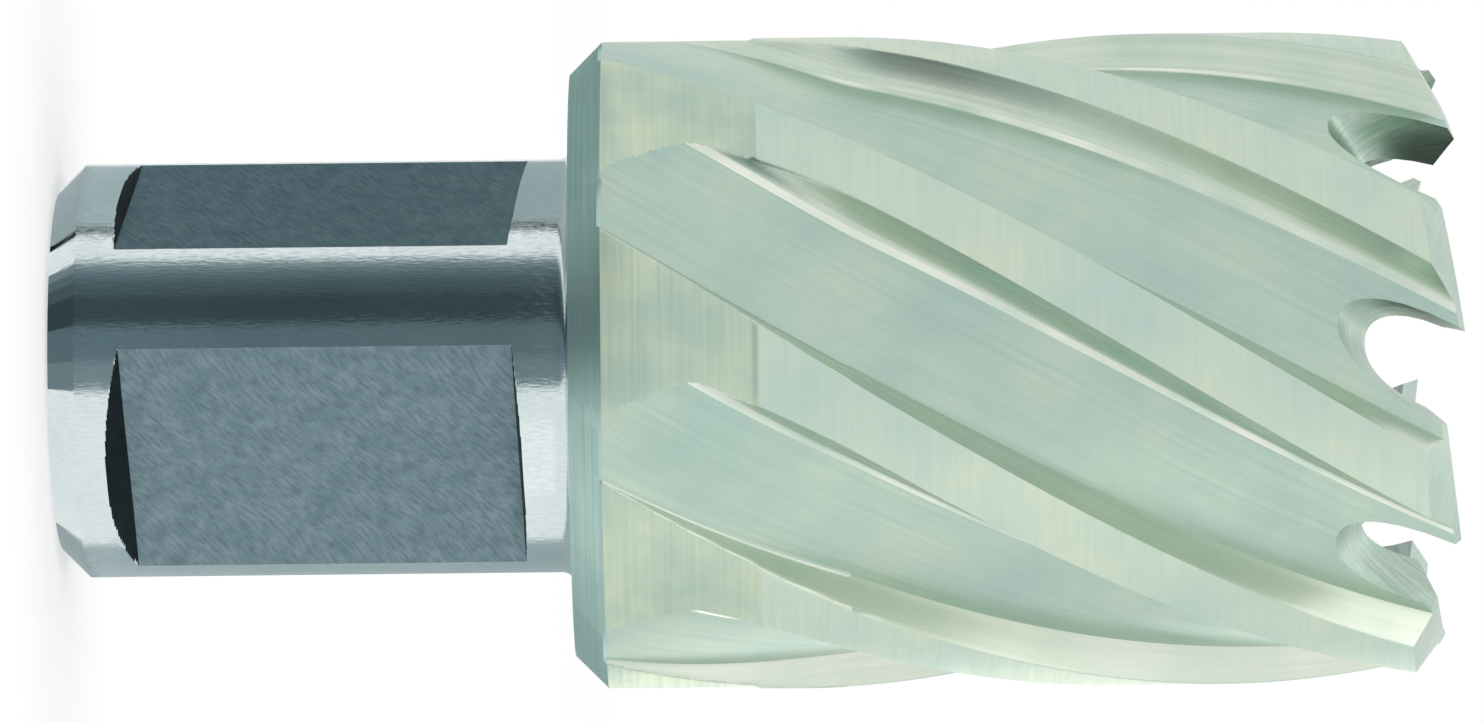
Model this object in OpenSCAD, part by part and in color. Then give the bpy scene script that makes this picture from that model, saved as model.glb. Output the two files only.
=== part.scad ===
// Annular cutter: a hollow high-speed-steel hole cutter ground from one bar.
// It stands on its shank, with the teeth up, and turns towards +angle about Z when it cuts.

/* [Shank] */
// Diameter of the round shank
shank_d = 19.05; // [16:0.05:22]
// Length of the shank from its end to the collar
shank_l = 23.6; // [22:0.1:36]
// Chamfer round the shank's end
shank_chamfer = 1.3; // [0.5:0.1:2]
// Fillet where the shank meets the collar
shank_fillet = 0.6; // [0.3:0.1:1]
// Depth of the clamping flat
clamp_flat_depth = 2; // [1:0.05:2.4]
// Depth of the second flat, a quarter turn away
second_flat_depth = 0.75; // [0.4:0.05:2]
// Distance from the shank's end to the flats
flat_start = 2.65; // [2.4:0.05:5]
// Distance from the flats to the collar
flat_collar_gap = 2.15; // [1.5:0.05:4]
// Run of the sloped wall at the outer end of each flat
flat_ramp = 0.85; // [0.3:0.05:0.9]
// Run of the steep wall at the collar end of each flat
flat_end_run = 0.25; // [0.1:0.05:0.5]
// Skew of the clamping flat's two ends, from square
clamp_flat_skew = 2; // [-5:0.5:5]
// Skew of the second flat's two ends
second_flat_skew = -6.5; // [-8:0.5:8]

/* [Head] */
// Diameter that the teeth cut
cutter_d = 30; // [28:0.5:36]
// Length of the head from the collar's face to the tooth tips
head_l = 40; // [37:0.1:60]
// Chamfer round the collar's face
collar_chamfer = 1.5; // [0.8:0.1:2]
// Length of the collar, up to the step where the ground lands begin
collar_l = 8.5; // [6:0.1:10]
// Height of that step, by which the collar is thinner than the lands
collar_step = 0.1; // [0.05:0.01:0.3]

/* [Flutes] */
// Number of flutes, each with one tooth
tooth_count = 8; // [6:1:10]
// Helix angle of the flutes
helix_angle = 31; // [15:1:35]
// Width of each land, measured round the cut diameter
land_w = 3.1; // [2.5:0.1:4.5]
// Depth of the flutes
flute_depth = 1.7; // [1:0.05:2]
// Width of the steep wall with its fillet, at the front of each land
front_wall_w = 1.15; // [0.6:0.05:1.4]
// Width of the sloped wall at the back of each land
back_wall_w = 0.55; // [0.4:0.05:1]
// Distance from the collar's face at which the flutes reach their full depth
runout_l = 12.6; // [10:0.1:16]

/* [Teeth] */
// Diameter of the hollow that takes the slug
core_d = 22; // [20:0.1:23]
// Thickness of the floor between the hollow and the shank
core_floor = 8; // [6:0.1:12]
// Depth of the gullets below the tooth tips
gullet_l = 5.7; // [4:0.1:8]
// Distance by which the inner cutting edge leads the front of the land
inner_edge_lead = 1.7; // [1.6:0.1:2.2]
// Distance from the cut diameter in to the ridge of the teeth
ridge_inset = 2.2; // [1.9:0.1:2.6]
// Slope of the tooth's end from the ridge out to the cut diameter
outer_slope = 32; // [15:1:40]
// Slope of the tooth's end from the ridge in to the hollow
inner_slope = 25; // [10:1:35]
// Relief angle behind the cutting edge
relief_angle = 8.5; // [4:0.5:12]

/* [Pilot hole] */
// Diameter of the hole for the pilot pin
pilot_d = 6.4; // [5:0.1:8.5]

/* [Hidden] */
$fn = 96;

steel = "#b9c6be";
over = 1;
shank_r = shank_d / 2;
cutter_r = cutter_d / 2;
core_r = core_d / 2;
collar_r = cutter_r - collar_step;
floor_r = cutter_r - flute_depth;
ridge_r = cutter_r - ridge_inset;

// Heights along the axis
collar_z = shank_l;
chamfer_z = collar_z + collar_chamfer;
step_z = collar_z + collar_l;
full_flute_z = collar_z + runout_l;
core_z = collar_z + core_floor;
tip_z = collar_z + head_l;
gullet_z = tip_z - gullet_l;

// The flats face these ways round the axis
clamp_flat_turn = 302;
second_flat_turn = clamp_flat_turn - 90;
// The round shank's seam lies here. It shapes nothing: it is set so that the points of the shank
// 30, 105, 180, 255 and 330 degrees on from it lie on round wall, or just inside a flat's long edge.
seam_turn = clamp_flat_turn - 217.5;

// Angles round the axis: each tooth's land runs from 0 to land_a
function arc_angle(w, r) = w / r * 180 / PI;
pitch_a = 360 / tooth_count;
land_a = arc_angle(land_w, cutter_r);
flute_a = pitch_a - land_a;
front_wall_a = arc_angle(front_wall_w, floor_r);
back_wall_a = arc_angle(back_wall_w, floor_r);
front_foot_a = land_a + front_wall_a;
twist_per_mm = arc_angle(tan(helix_angle), cutter_r);

// The gullet's bottom lies just past the middle of the flute's floor
gullet_share = 0.55;
gullet_a = front_foot_a + gullet_share * (flute_a - front_wall_a - back_wall_a);
// Its two edges at the tip: the cutting edge, and the heel of the tooth behind
cutting_edge_a = land_a + arc_angle(inner_edge_lead, floor_r);
heel_gap = 0.7;
heel_a = -back_wall_a - arc_angle(heel_gap, floor_r);
// Turn of the whole head, which sets the cutting edges against the flats
head_turn = 21;

// How fast the runout lifts a flute: this much at its back wall, and more towards its front wall
runout_back = 0.84;
runout_front = 0.85;
runout_power = 2.6;

// Columns of the surface round one tooth, from heel to cutting edge, and how deep each lies
land_steps = 4;
floor_steps = 3;
front_wall_shares = [0.25, 0.6, 1];
front_wall_depths = [0.45, 0.85, 1];
back_wall_depth = 0.55;
column_depths = concat(
    [for (i = [0:floor_steps]) 1],
    [back_wall_depth],
    [for (i = [0:land_steps]) 0],
    front_wall_depths,
    [for (i = [1:floor_steps]) 1]
);
columns = len(column_depths) - 1;

function columns_between(lo, hi) = concat(
    [for (i = [0:floor_steps]) lo + (-back_wall_a - lo) * i / floor_steps],
    [-back_wall_a / 2],
    [for (i = [0:land_steps]) land_a * i / land_steps],
    [for (share = front_wall_shares) land_a + front_wall_a * share],
    [for (i = [1:floor_steps]) front_foot_a + (hi - front_foot_a) * i / floor_steps]
);

// How far across its flute an angle lies: 0 at the back wall's top, 1 at the front wall's top
function across_flute(a) = (a <= 0 ? -a : pitch_a - a) / flute_a;

// How far along the runout a height lies: 0 where the flutes are at full depth, 1 at the chamfer
function runout(z) = max(0, (full_flute_z - z) / (full_flute_z - chamfer_z));

// How far the runout has lifted a flute there, as a share of its depth
function lift(a, z) = runout(z) * (runout_back + runout_front * pow(across_flute(a), runout_power));

// Radius of the outside at a column's angle and a height
function outside_r(column, a, z) =
    let (depth = flute_depth * max(0, column_depths[column] - lift(a, z)))
    min(z < step_z ? collar_r : cutter_r, cutter_r - depth);

// Height of a tooth's end at an angle and a radius
function end_z(a, r) =
    let (slope = r > ridge_r ? outer_slope : inner_slope)
    tip_z - abs(r - ridge_r) * tan(slope)
          - (cutting_edge_a - a) * PI / 180 * ridge_r * tan(relief_angle);

// A gullet's edge bends away from its bottom as a rounded corner does
corner_power = 2.2;
function corner(share) = pow(1 - pow(1 - share, corner_power), 1 / corner_power);

function tooth_columns(share) = columns_between(
    gullet_a - pitch_a + (heel_a - gullet_a + pitch_a) * corner(share),
    gullet_a - (gullet_a - cutting_edge_a) * corner(share)
);

// A point on the head, turned by the helix
function at(tooth, a, r, z) =
    let (turn = a + tooth * pitch_a + head_turn + twist_per_mm * (z - tip_z))
    [r * cos(turn), r * sin(turn), z];

// Heights of the rings below the gullets
runout_rings = 12;
flute_rings = 12;
step_run = 0.06;
function spread(from, to, steps) = [for (i = [0:steps]) from + (to - from) * i / steps];
ring_heights = concat(
    [for (z = spread(chamfer_z, full_flute_z, runout_rings)) if (z < step_z - step_run) z],
    [step_z - step_run, step_z],
    [for (z = spread(chamfer_z, full_flute_z, runout_rings)) if (z > step_z + step_run) z],
    [for (i = [1:flute_rings]) full_flute_z + (gullet_z - full_flute_z) * i / flute_rings]
);
rings = len(ring_heights);

// Shares of the gullet's height at which the teeth have rows
tooth_rows = [0.02, 0.1, 0.25, 0.5, 0.75, 1];
rows = len(tooth_rows);
whole_columns = columns_between(gullet_a - pitch_a, gullet_a);

function tooth_point(tooth, share, column, a, r_known) =
    let (r = r_known > 0 ? r_known : outside_r(column, a, gullet_z))
    at(tooth, a, r, gullet_z + share * (end_z(a, r) - gullet_z));

function ring_points(r_known, z) = [
    for (tooth = [0:tooth_count - 1], i = [0:columns - 1])
        let (a = whole_columns[i])
        at(tooth, a, r_known > 0 ? r_known : outside_r(i, a, z), z)
];

function row_points(share, r_known) = [
    for (tooth = [0:tooth_count - 1])
        let (angles = tooth_columns(share))
        for (i = [0:columns]) tooth_point(tooth, share, i, angles[i], r_known)
];

// All points of the head: the collar's face, the rings, the teeth outside, their ridges,
// the hollow's floor, the hollow at the gullets' bottoms, and the teeth inside
face_points = [for (p = ring_points(collar_r - collar_chamfer, collar_z)) p];
floor_points = [
    for (p = ring_points(core_r, gullet_z)) [p.x, p.y, core_z]
];
head_points = concat(
    face_points,
    [for (z = ring_heights) each ring_points(0, z)],
    [for (share = tooth_rows) each row_points(share, 0)],
    row_points(1, ridge_r),
    floor_points,
    ring_points(core_r, gullet_z),
    [for (share = tooth_rows) each row_points(share, core_r)]
);

// Where each group of points starts
ring_size = tooth_count * columns;
row_size = tooth_count * (columns + 1);
outer_start = (1 + rings) * ring_size;
ridge_start = outer_start + rows * row_size;
hollow_start = ridge_start + row_size;
inner_start = hollow_start + 2 * ring_size;

function on_ring(start, ring, tooth, i) =
    start + ring * ring_size + (tooth * columns + i) % ring_size;
function on_row(start, row, tooth, i) =
    start + row * row_size + tooth * (columns + 1) + i;
// Row 0 is the ring at the gullets' bottoms, where neighbouring teeth meet
function outer_at(row, tooth, i) =
    row == 0 ? on_ring(0, rings, tooth, i) : on_row(outer_start, row - 1, tooth, i);
function inner_at(row, tooth, i) =
    row == 0 ? on_ring(hollow_start, 1, tooth, i) : on_row(inner_start, row - 1, tooth, i);
function ridge_at(tooth, i) = on_row(ridge_start, 0, tooth, i);

// Two triangles, split along the diagonal that follows the helix
function quad(a, b, c, d) = [[a, b, d], [b, c, d]];

body_faces = [
    for (ring = [0:rings - 1], tooth = [0:tooth_count - 1], i = [0:columns - 1])
        each quad(
            on_ring(0, ring, tooth, i), on_ring(0, ring + 1, tooth, i),
            on_ring(0, ring + 1, tooth, i + 1), on_ring(0, ring, tooth, i + 1)
        )
];
hollow_faces = [
    for (tooth = [0:tooth_count - 1], i = [0:columns - 1])
        each quad(
            on_ring(hollow_start, 0, tooth, i), on_ring(hollow_start, 0, tooth, i + 1),
            on_ring(hollow_start, 1, tooth, i + 1), on_ring(hollow_start, 1, tooth, i)
        )
];
tooth_side_faces = [
    for (tooth = [0:tooth_count - 1], row = [0:rows - 1], i = [0:columns - 1])
        each concat(
            quad(
                outer_at(row, tooth, i), outer_at(row + 1, tooth, i),
                outer_at(row + 1, tooth, i + 1), outer_at(row, tooth, i + 1)
            ),
            quad(
                inner_at(row, tooth, i), inner_at(row, tooth, i + 1),
                inner_at(row + 1, tooth, i + 1), inner_at(row + 1, tooth, i)
            )
        )
];
tooth_end_faces = [
    for (tooth = [0:tooth_count - 1], i = [0:columns - 1])
        each concat(
            quad(
                outer_at(rows, tooth, i), ridge_at(tooth, i),
                ridge_at(tooth, i + 1), outer_at(rows, tooth, i + 1)
            ),
            quad(
                ridge_at(tooth, i), inner_at(rows, tooth, i),
                inner_at(rows, tooth, i + 1), ridge_at(tooth, i + 1)
            )
        )
];
gullet_faces = [
    for (tooth = [0:tooth_count - 1], row = [0:rows - 1])
        each concat(
            quad(
                outer_at(row, tooth, columns), outer_at(row + 1, tooth, columns),
                inner_at(row + 1, tooth, columns), inner_at(row, tooth, columns)
            ),
            quad(
                outer_at(row, tooth, 0), inner_at(row, tooth, 0),
                inner_at(row + 1, tooth, 0), outer_at(row + 1, tooth, 0)
            )
        )
];
ridge_corner_faces = [
    for (tooth = [0:tooth_count - 1]) each [
        [outer_at(rows, tooth, columns), ridge_at(tooth, columns), inner_at(rows, tooth, columns)],
        [outer_at(rows, tooth, 0), inner_at(rows, tooth, 0), ridge_at(tooth, 0)]
    ]
];
head_faces = concat(
    [[for (i = [0:ring_size - 1]) i]],
    body_faces,
    tooth_side_faces,
    tooth_end_faces,
    gullet_faces,
    ridge_corner_faces,
    hollow_faces,
    [[for (i = [ring_size - 1:-1:0]) hollow_start + i]]
);

// The fluted head with its collar, teeth and hollow
module head() {
    polyhedron(head_points, head_faces, convexity = 12);
}

// One milled flat: a slot across the shank with two sloped ends, both turned a little from square
module flat(depth, turn, skew) {
    across = shank_d + 2 * over;
    flat_r = shank_r - depth;
    foot_z = flat_start + flat_ramp;
    end_foot_z = shank_l - flat_collar_gap - flat_end_run;
    middle_z = (foot_z + end_foot_z) / 2;
    rise = (depth + over) / clamp_flat_depth;
    rotate([0, 0, turn])
        translate([0, 0, middle_z])
            rotate([90 + skew, 0, 0])
                translate([0, -middle_z, -across / 2])
                    linear_extrude(across)
                        polygon([
                            [flat_r, foot_z],
                            [shank_r + over, foot_z - flat_ramp * rise],
                            [shank_r + over, end_foot_z + flat_end_run * rise],
                            [flat_r, end_foot_z]
                        ]);
}

// The round shank, which runs a little way into the head
module shank() {
    root = collar_z + core_floor / 2;
    fillet_steps = 4;
    fillet_end = 100;
    fillet = [
        for (i = [0:fillet_steps])
            let (a = 180 + (fillet_end - 180) * i / fillet_steps)
            [shank_r + shank_fillet * (1 + cos(a)), collar_z + shank_fillet * (sin(a) - 1)]
    ];
    difference() {
        rotate([0, 0, seam_turn])
            rotate_extrude()
                polygon(concat(
                    [[0, 0], [shank_r - shank_chamfer, 0], [shank_r, shank_chamfer]],
                    fillet,
                    [[shank_r + shank_fillet, root], [0, root]]
                ));
        flat(clamp_flat_depth, clamp_flat_turn, clamp_flat_skew);
        flat(second_flat_depth, second_flat_turn, second_flat_skew);
    }
}

module pilot_hole() {
    translate([0, 0, -over])
        cylinder(d = pilot_d, h = core_z + 2 * over);
}

module cutter() {
    color(steel)
        difference() {
            union() {
                shank();
                head();
            }
            pilot_hole();
        }
}

cutter();
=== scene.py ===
"""Looks of an annular cutter: a hollow hole cutter of ground high-speed steel.

The cutter stands on its shank at z = 0 with its teeth up. One closed mesh, built from numpy grids with
the CAD model's own sizes, stands in for the CAD solid, and each of its surfaces has its own steel finish.
"""

from __future__ import annotations

import logging
import math
from dataclasses import dataclass, field
from enum import Enum, IntEnum
from typing import Any

import bmesh
import bpy
import numpy as np
from mathutils import Matrix, Vector

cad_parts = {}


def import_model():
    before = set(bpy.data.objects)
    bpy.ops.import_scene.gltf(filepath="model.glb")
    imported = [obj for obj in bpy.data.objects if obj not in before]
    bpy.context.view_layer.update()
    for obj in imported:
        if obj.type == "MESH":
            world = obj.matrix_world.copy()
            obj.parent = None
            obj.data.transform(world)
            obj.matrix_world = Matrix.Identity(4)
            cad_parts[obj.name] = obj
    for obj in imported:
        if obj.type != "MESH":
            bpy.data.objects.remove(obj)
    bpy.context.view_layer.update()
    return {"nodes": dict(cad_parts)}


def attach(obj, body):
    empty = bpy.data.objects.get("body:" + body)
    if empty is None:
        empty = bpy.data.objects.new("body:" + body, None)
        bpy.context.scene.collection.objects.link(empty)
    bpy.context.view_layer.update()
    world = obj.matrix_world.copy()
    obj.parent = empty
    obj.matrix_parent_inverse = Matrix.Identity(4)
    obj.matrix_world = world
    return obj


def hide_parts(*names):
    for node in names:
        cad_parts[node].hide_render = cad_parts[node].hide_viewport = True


LOG = logging.getLogger("annular_cutter")
MM = 0.001
UM = 0.000001
WHITE = (1.0, 1.0, 1.0, 1.0)
NODE = "cutter"
BODY = "root"
# the shank's radius and length, which the head and the studio's cards follow
SHANK_R_MM = 9.525
SHANK_L_MM = 23.6


class Area(Enum):
    """The surfaces of the cutter that have a finish of their own. The values are material slots."""

    LAND = 0
    FLUTE = 1
    FILLET = 2
    FRONT_WALL = 3
    COLLAR_EDGE = 4
    SHANK = 5
    FLAT = 6
    FLAT_END = 7
    GULLET = 8
    TOOTH_END = 9
    BORE = 10
    COLLAR = 11
    BACK_WALL = 12


class Stretch(IntEnum):
    """The stretches of the surface round one tooth, from its heel to its cutting edge."""

    HEEL_FLOOR = 0
    BACK_WALL = 1
    LAND = 2
    FRONT_WALL = 3
    EDGE_FLOOR = 4


def linear_rgba(hex_colour: str) -> tuple[float, float, float, float]:
    """Turns an sRGB colour into the linear one that shaders take.

    Args:
        hex_colour: the colour as "#rrggbb".

    Returns:
        Linear red, green and blue, and an alpha of 1.
    """
    srgb = np.array([int(hex_colour[i : i + 2], 16) / 255 for i in (1, 3, 5)])
    linear = np.where(srgb <= 0.04045, srgb / 12.92, ((srgb + 0.055) / 1.055) ** 2.4)
    return (*linear.tolist(), 1.0)


def add_node(
    tree: bpy.types.NodeTree,
    kind: str,
    values: dict[str | int, Any] | None = None,
    links: dict[str | int, bpy.types.NodeSocket] | None = None,
    **settings: Any,
) -> bpy.types.Node:
    """Adds one shader node with its settings, socket values and incoming links.

    Args:
        tree: the node tree that takes it.
        kind: the node's type name, without its ShaderNode prefix.
        values: constants by socket.
        links: sockets that feed this node, by the socket that they feed.
        **settings: the node's own properties.

    Returns:
        The new node.
    """
    node = tree.nodes.new("ShaderNode" + kind)
    for name, value in settings.items():
        setattr(node, name, value)
    for name, value in (values or {}).items():
        node.inputs[name].default_value = value
    for name, socket in (links or {}).items():
        tree.links.new(socket, node.inputs[name])
    return node


def empty_material(name: str) -> bpy.types.Material:
    """Makes a material with no nodes in it.

    Args:
        name: its name.

    Returns:
        The material.
    """
    material = bpy.data.materials.new(name)
    material.use_nodes = True
    material.node_tree.nodes.clear()
    return material


@dataclass(frozen=True)
class SteelFinish:
    """A finish of bare steel: two close tints in soft patches, crossed by the fine lines its tool left.

    The lines are noise drawn out along the tool's path in the surface's UV map, which is in millimetres.
    """

    name: str
    tint: str
    second_tint: str
    line_tint: str
    patch_mm: float
    line_pitch_mm: float
    line_length_mm: float
    line_turn: float
    line_share: float
    roughness: float
    rough_spread: float
    relief_um: float
    patch_detail: float = 3.0
    patch_roughness: float = 0.55
    patch_ramp: tuple[float, float] = (0.36, 0.64)
    line_detail: float = 2.0
    line_roughness: float = 0.6
    line_ramp: tuple[float, float] = (0.4, 0.7)
    rough_ramp: tuple[float, float] = (0.3, 0.7)

    def material(self) -> bpy.types.Material:
        """Builds the finish.

        Returns:
            The material, which reads Object coordinates for the patches and the UV map for the lines.
        """
        material = empty_material(self.name)
        tree = material.node_tree
        place = add_node(tree, "TexCoord")
        patches = add_node(
            tree,
            "TexNoise",
            {
                "Scale": 1 / (self.patch_mm * MM),
                "Detail": self.patch_detail,
                "Roughness": self.patch_roughness,
            },
            {"Vector": place.outputs["Object"]},
        )
        tints = add_node(tree, "ValToRGB", links={"Fac": patches.outputs["Fac"]})
        stops = zip(tints.color_ramp.elements, self.patch_ramp, (self.tint, self.second_tint))
        for stop, position, tint in stops:
            stop.position = position
            stop.color = linear_rgba(tint)
        along = add_node(
            tree,
            "Mapping",
            {
                "Rotation": (0.0, 0.0, math.radians(self.line_turn)),
                "Scale": (self.line_length_mm, self.line_pitch_mm, 1.0),
            },
            {"Vector": place.outputs["UV"]},
            vector_type="TEXTURE",
        )
        lines = add_node(
            tree,
            "TexNoise",
            {"Scale": 1.0, "Detail": self.line_detail, "Roughness": self.line_roughness},
            {"Vector": along.outputs["Vector"]},
        )
        share = add_node(
            tree,
            "MapRange",
            {
                "From Min": self.line_ramp[0],
                "From Max": self.line_ramp[1],
                "To Min": 0.0,
                "To Max": self.line_share,
            },
            {"Value": lines.outputs["Fac"]},
        )
        colour = add_node(
            tree,
            "MixRGB",
            {"Color2": linear_rgba(self.line_tint)},
            {"Fac": share.outputs["Result"], "Color1": tints.outputs["Color"]},
        )
        rough = add_node(
            tree,
            "MapRange",
            {
                "From Min": self.rough_ramp[0],
                "From Max": self.rough_ramp[1],
                "To Min": self.roughness - self.rough_spread,
                "To Max": self.roughness + self.rough_spread,
            },
            {"Value": lines.outputs["Fac"]},
        )
        bump = add_node(
            tree,
            "Bump",
            {"Strength": 1.0, "Distance": self.relief_um * UM},
            {"Height": lines.outputs["Fac"]},
        )
        steel = add_node(
            tree,
            "BsdfPrincipled",
            {"Metallic": 1.0},
            {
                "Base Color": colour.outputs["Color"],
                "Roughness": rough.outputs["Result"],
                "Normal": bump.outputs["Normal"],
            },
        )
        add_node(tree, "OutputMaterial", links={"Surface": steel.outputs["BSDF"]})
        return material


# Each finish says what it gives the eye. Patterns finer than about 0.1 mm are drawn that coarse, so that
# they show.
FINISHES: dict[Area, SteelFinish] = {
    # the lands: pale green-grey, satin, with faint lines round the axis from cylindrical grinding
    Area.LAND: SteelFinish(
        name="cylinder_ground_steel", tint="#bdd2c8", second_tint="#cedcc8", line_tint="#aec4b9",
        patch_mm=7.0, line_pitch_mm=0.25, line_length_mm=5.0, line_turn=0.0, line_share=0.16,
        roughness=0.38, rough_spread=0.04, relief_um=0.8,
    ),
    # the flutes: a little darker and smoother, with faint lines along the helix from the grinding wheel
    Area.FLUTE: SteelFinish(
        name="flute_ground_steel", tint="#acc5bb", second_tint="#bdd0c0", line_tint="#9eb7ac",
        patch_mm=6.0, line_pitch_mm=0.3, line_length_mm=12.0, line_turn=90.0, line_share=0.3,
        roughness=0.34, rough_spread=0.04, relief_um=0.8,
    ),
    # the fillets under the front walls, cut by the wheel's corner: tinted into a bright cream line, a
    # painted highlight
    Area.FILLET: SteelFinish(
        name="fillet_painted_highlight_steel", tint="#f2f5e8", second_tint="#b9ccbf", line_tint="#cfdccb",
        patch_mm=10.0, line_pitch_mm=0.12, line_length_mm=14.0, line_turn=90.0, line_share=0.3,
        roughness=0.24, rough_spread=0.03, relief_um=0.4,
    ),
    # the walls in front of the lands: smooth and pale, so they gather light from the whole flute
    Area.FRONT_WALL: SteelFinish(
        name="bright_ground_steel", tint="#d0ddcd", second_tint="#c0d2c4", line_tint="#aec2b4",
        patch_mm=6.0, line_pitch_mm=0.14, line_length_mm=14.0, line_turn=90.0, line_share=0.35,
        roughness=0.28, rough_spread=0.04, relief_um=0.5,
    ),
    # the walls behind the lands: warm, and tinted the brightest of the ground surfaces but for the
    # fillets, a painted highlight
    Area.BACK_WALL: SteelFinish(
        name="back_wall_painted_highlight_steel", tint="#dde4d5", second_tint="#d0dbcc", line_tint="#bac9ba",
        patch_mm=6.0, line_pitch_mm=0.14, line_length_mm=14.0, line_turn=90.0, line_share=0.3,
        roughness=0.3, rough_spread=0.04, relief_um=0.5,
    ),
    # the collar's chamfer and face: turned and not ground, so they are duller, and grey-green
    Area.COLLAR_EDGE: SteelFinish(
        name="turned_collar_steel", tint="#b1d0c8", second_tint="#bcd8d0", line_tint="#9ab8b0",
        patch_mm=3.0, line_pitch_mm=0.12, line_length_mm=14.0, line_turn=0.0, line_share=0.4,
        roughness=0.44, rough_spread=0.05, relief_um=1.2,
    ),
    # the shank: brighter and bluer, with sharp reflections that a fine grain breaks up
    Area.SHANK: SteelFinish(
        name="polished_shank_steel", tint="#d2dedf", second_tint="#dde6e7", line_tint="#bccbce",
        patch_mm=4.0, line_pitch_mm=0.13, line_length_mm=0.5, line_turn=90.0, line_share=0.3,
        roughness=0.15, rough_spread=0.09, relief_um=6.0,
    ),
    # the flats: dark blue-grey, matt and mottled by the milling cutter's slanting marks
    Area.FLAT: SteelFinish(
        name="milled_flat_steel", tint="#70878f", second_tint="#7f959c", line_tint="#5d727a",
        patch_mm=0.9, line_pitch_mm=0.16, line_length_mm=0.7, line_turn=40.0, line_share=0.55,
        roughness=0.46, rough_spread=0.08, relief_um=3.0,
    ),
    # the walls at the flats' ends: tinted almost black, a painted shade
    Area.FLAT_END: SteelFinish(
        name="flat_end_painted_shade_steel", tint="#23292c", second_tint="#2e363a", line_tint="#3b454a",
        patch_mm=1.5, line_pitch_mm=0.12, line_length_mm=3.0, line_turn=0.0, line_share=0.3,
        roughness=0.5, rough_spread=0.06, relief_um=1.0,
    ),
    # the gullets: cut by a coarse wheel, darker green-grey with scratches
    Area.GULLET: SteelFinish(
        name="gullet_ground_steel", tint="#abc0b3", second_tint="#bbccbf", line_tint="#81988b",
        patch_mm=1.5, line_pitch_mm=0.12, line_length_mm=3.0, line_turn=60.0, line_share=0.6,
        roughness=0.38, rough_spread=0.06, relief_um=2.0,
    ),
    # the tooth ends: finely tool-ground, pale, with lines across the cutting edge
    Area.TOOTH_END: SteelFinish(
        name="tooth_ground_steel", tint="#b0c3b8", second_tint="#bccdbf", line_tint="#94a99d",
        patch_mm=2.5, line_pitch_mm=0.12, line_length_mm=4.0, line_turn=60.0, line_share=0.35,
        roughness=0.3, rough_spread=0.05, relief_um=1.0,
    ),
    # the collar's round: turned and not ground, so it is creamier and more clouded than the lands
    Area.COLLAR: SteelFinish(
        name="clouded_collar_steel", tint="#aec5b8", second_tint="#ccd9bf", line_tint="#a2b9a9",
        patch_mm=5.0, line_pitch_mm=0.2, line_length_mm=10.0, line_turn=0.0, line_share=0.25,
        roughness=0.36, rough_spread=0.05, relief_um=0.8,
    ),
    # the hollow and the pilot hole: bored, dull and dark
    Area.BORE: SteelFinish(
        name="bored_steel", tint="#a2b2ad", second_tint="#aebcb6", line_tint="#889a94",
        patch_mm=4.0, line_pitch_mm=0.25, line_length_mm=15.0, line_turn=0.0, line_share=0.5,
        roughness=0.42, rough_spread=0.05, relief_um=2.0,
    ),
}


@dataclass
class Patch:
    """A grid or strip of the cutter's surface: points and UV in millimetres, triangles, their areas."""

    points: np.ndarray
    uv: np.ndarray
    triangles: np.ndarray
    areas: np.ndarray


def about_axis(radius: np.ndarray | float, turns: np.ndarray, heights: np.ndarray | float) -> np.ndarray:
    """Points from cylindrical coordinates.

    Args:
        radius: distances from the axis.
        turns: angles about it, in degrees.
        heights: heights along it.

    Returns:
        An array of the broadcast shape and 3.
    """
    way = np.radians(turns)
    return np.stack(np.broadcast_arrays(radius * np.cos(way), radius * np.sin(way), heights), -1)


def grid_patch(points: np.ndarray, u: np.ndarray, v: np.ndarray, areas: np.ndarray | Area) -> Patch:
    """Joins a grid of points into triangles, two to a cell.

    Args:
        points: array of rows, columns and 3.
        u: first coordinates of the UV map, broadcast over the grid.
        v: second coordinates, broadcast over the grid.
        areas: one area for the whole grid, or an array of slots with one value to a cell or two.

    Returns:
        The patch.
    """
    rows, columns = points.shape[:2]
    index = np.arange(rows * columns).reshape(rows, columns)
    a, b, c, d = index[:-1, :-1], index[1:, :-1], index[1:, 1:], index[:-1, 1:]
    triangles = np.stack([np.stack([a, b, d], -1), np.stack([b, c, d], -1)], 2)
    cells = np.full(a.shape, areas.value) if isinstance(areas, Area) else areas
    halves = cells if cells.ndim == 3 else np.repeat(cells[..., None], 2, -1)
    uv = np.stack([np.broadcast_to(part, (rows, columns)) for part in (u, v)], -1)
    return Patch(points.reshape(-1, 3), uv.reshape(-1, 2), triangles.reshape(-1, 3), halves.ravel())


def ring_patch(first: np.ndarray, second: np.ndarray, area: Area) -> Patch:
    """Fills the flat ring between two circles about the axis that have different numbers of points.

    All points are taken in the order of their angles. Each step moves on along the circle whose next
    point comes first, and the triangle it sweeps joins that step to the point on the other circle.

    Args:
        first: points of one circle, n by 3.
        second: points of the other, m by 3.
        area: the finish of the ring.

    Returns:
        The patch, whose UV is the arc and the radius.
    """
    turn = [np.arctan2(ring[:, 1], ring[:, 0]) % (2 * np.pi) for ring in (first, second)]
    order = [np.argsort(angles) for angles in turn]
    rings = [ring[way] for ring, way in zip((first, second), order)]
    steps = [np.append(np.sort(angles)[1:], np.sort(angles)[0] + 2 * np.pi) for angles in turn]
    n, m = len(first), len(second)
    events = np.argsort(np.concatenate(steps), kind="stable")
    on_first = events < n
    i = np.cumsum(on_first) - on_first
    j = np.cumsum(~on_first) - ~on_first
    moved = np.where(on_first, (i + 1) % n, n + (j + 1) % m)
    triangles = np.stack([i % n, moved, n + j % m], -1)
    points = np.concatenate(rings)
    radius = np.hypot(points[:, 0], points[:, 1])
    uv = np.stack([np.concatenate([np.sort(angles) for angles in turn]) * radius.mean(), radius], -1)
    return Patch(points, uv, triangles, np.full(len(triangles), area.value))


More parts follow.
